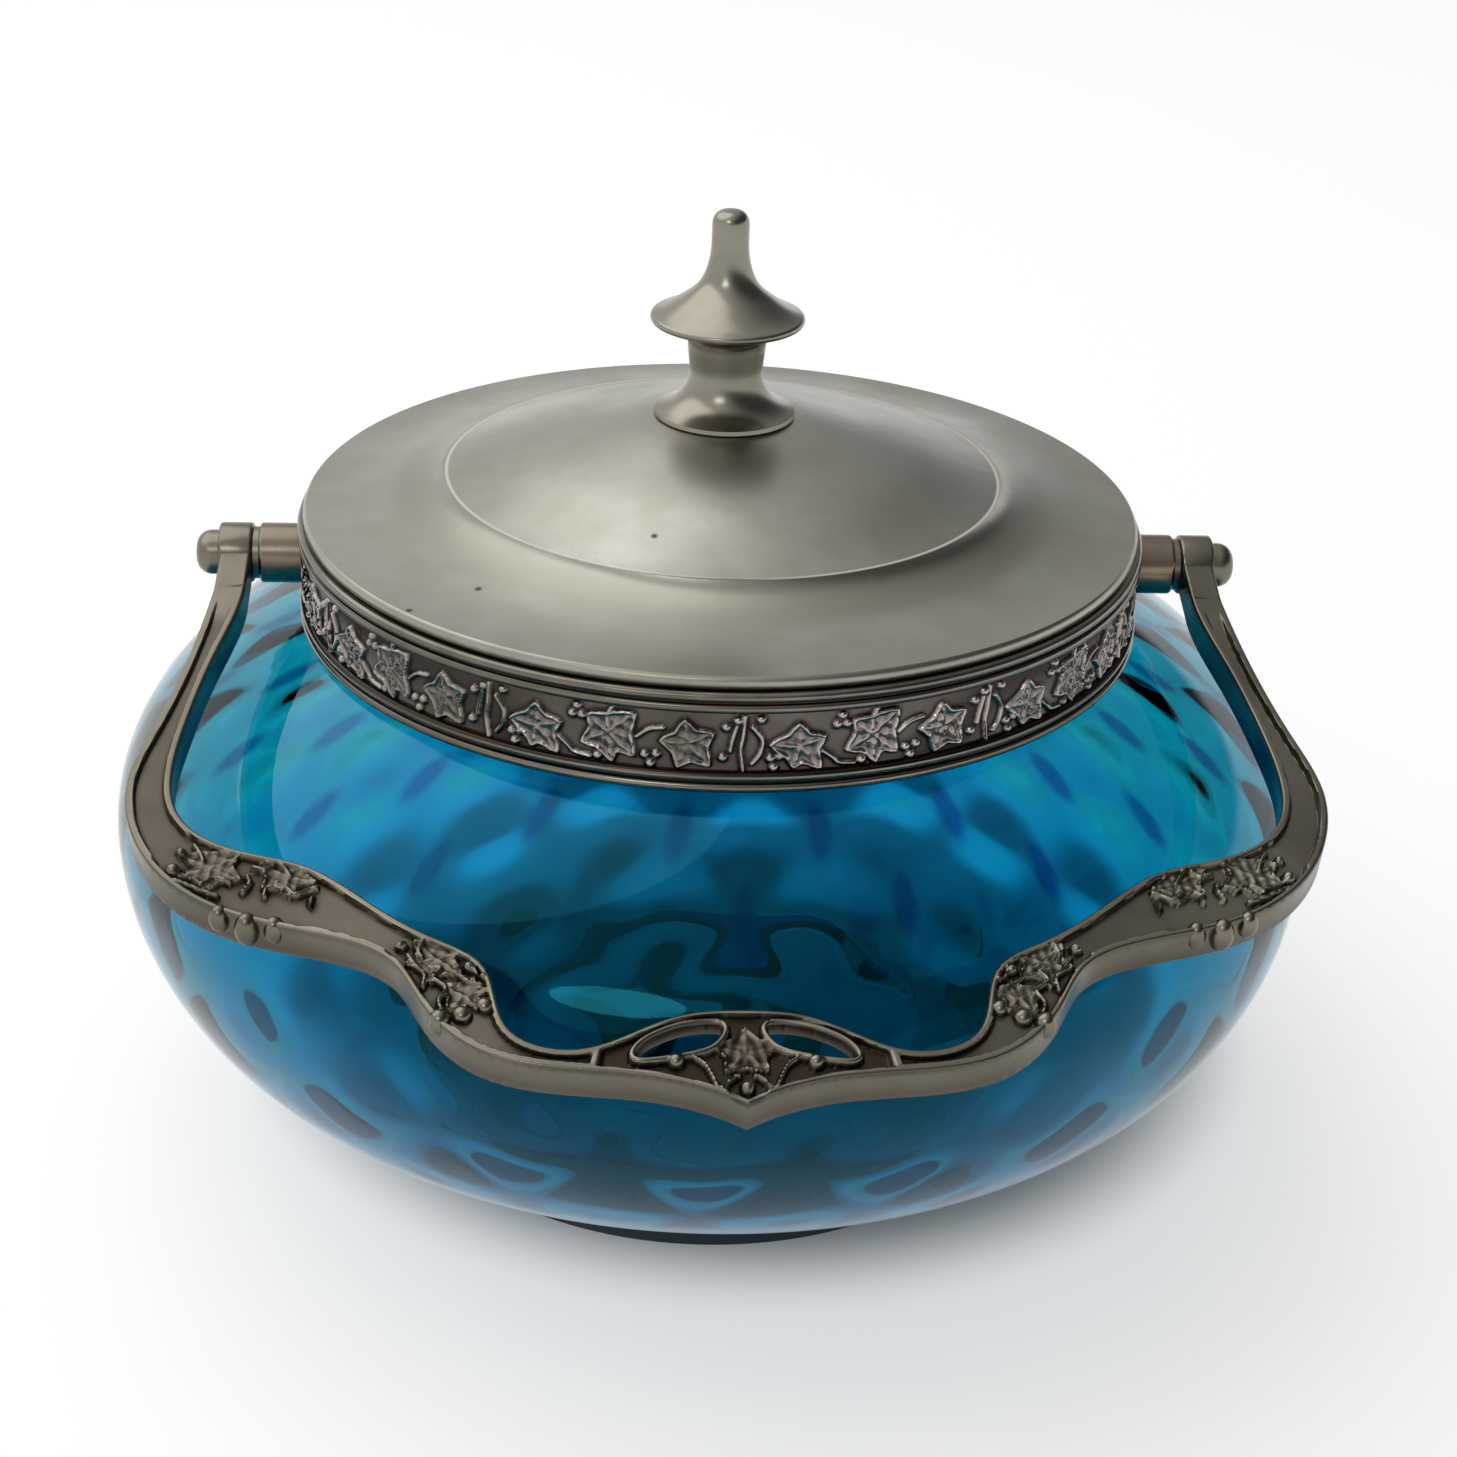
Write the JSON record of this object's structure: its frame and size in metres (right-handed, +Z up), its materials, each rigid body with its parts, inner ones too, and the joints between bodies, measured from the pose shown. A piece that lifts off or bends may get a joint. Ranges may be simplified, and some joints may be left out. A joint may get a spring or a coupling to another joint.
{
  "type": "biscuit jar",
  "caption": "Squat glass biscuit jar with a plated frieze collar, a swinging bail handle and a lift-off domed lid with a turned finial.",
  "frame": {"origin": "centre of the flat foot, on the surface the jar stands on", "axes": "+Z up, X along the line through the handle's two pivots, -Y towards the side where the handle hangs at rest"},
  "size_m": [0.19, 0.205, 0.1499],
  "materials": {
    "blue_glass": "diamond optic, blown",
    "lid_plate": "dull silver plate, worn",
    "collar_plate": "antiqued silver plate",
    "handle_plate": "antiqued silver plate, cast",
    "plaster": "matte",
    "fixings": "satin"
  },
  "bodies": {
    "jar": {"glass_bowl": "blue_glass", "bedding_ring": "plaster", "collar_band": "collar_plate", "collar_rim": "collar_plate", "collar_foot_moulding": "collar_plate", "lug_left": "handle_plate", "lug_right": "handle_plate", "pivot_washer_left": "fixings", "pivot_washer_right": "fixings", "pivot_screw_left": "fixings", "pivot_screw_right": "fixings"},
    "handle": {"bail_handle": "handle_plate"},
    "lid": {"lid_cover": "lid_plate", "lid_bezel": "lid_plate", "finial": "lid_plate", "finial_stud": "fixings", "finial_washer": "fixings", "finial_nut": "fixings"}
  },
  "joints": [
    {"name": "handle_swing", "type": "hinge", "parent": "jar", "child": "handle", "pos_m": [0, 0, 0.0939], "axis": [-1, 0, 0], "range_deg": [0, 209]},
    {"name": "lid_lift", "type": "slide", "parent": "jar", "child": "lid", "axis": [0, 0, 1], "range_m": [0, 0.06]}
  ]
}
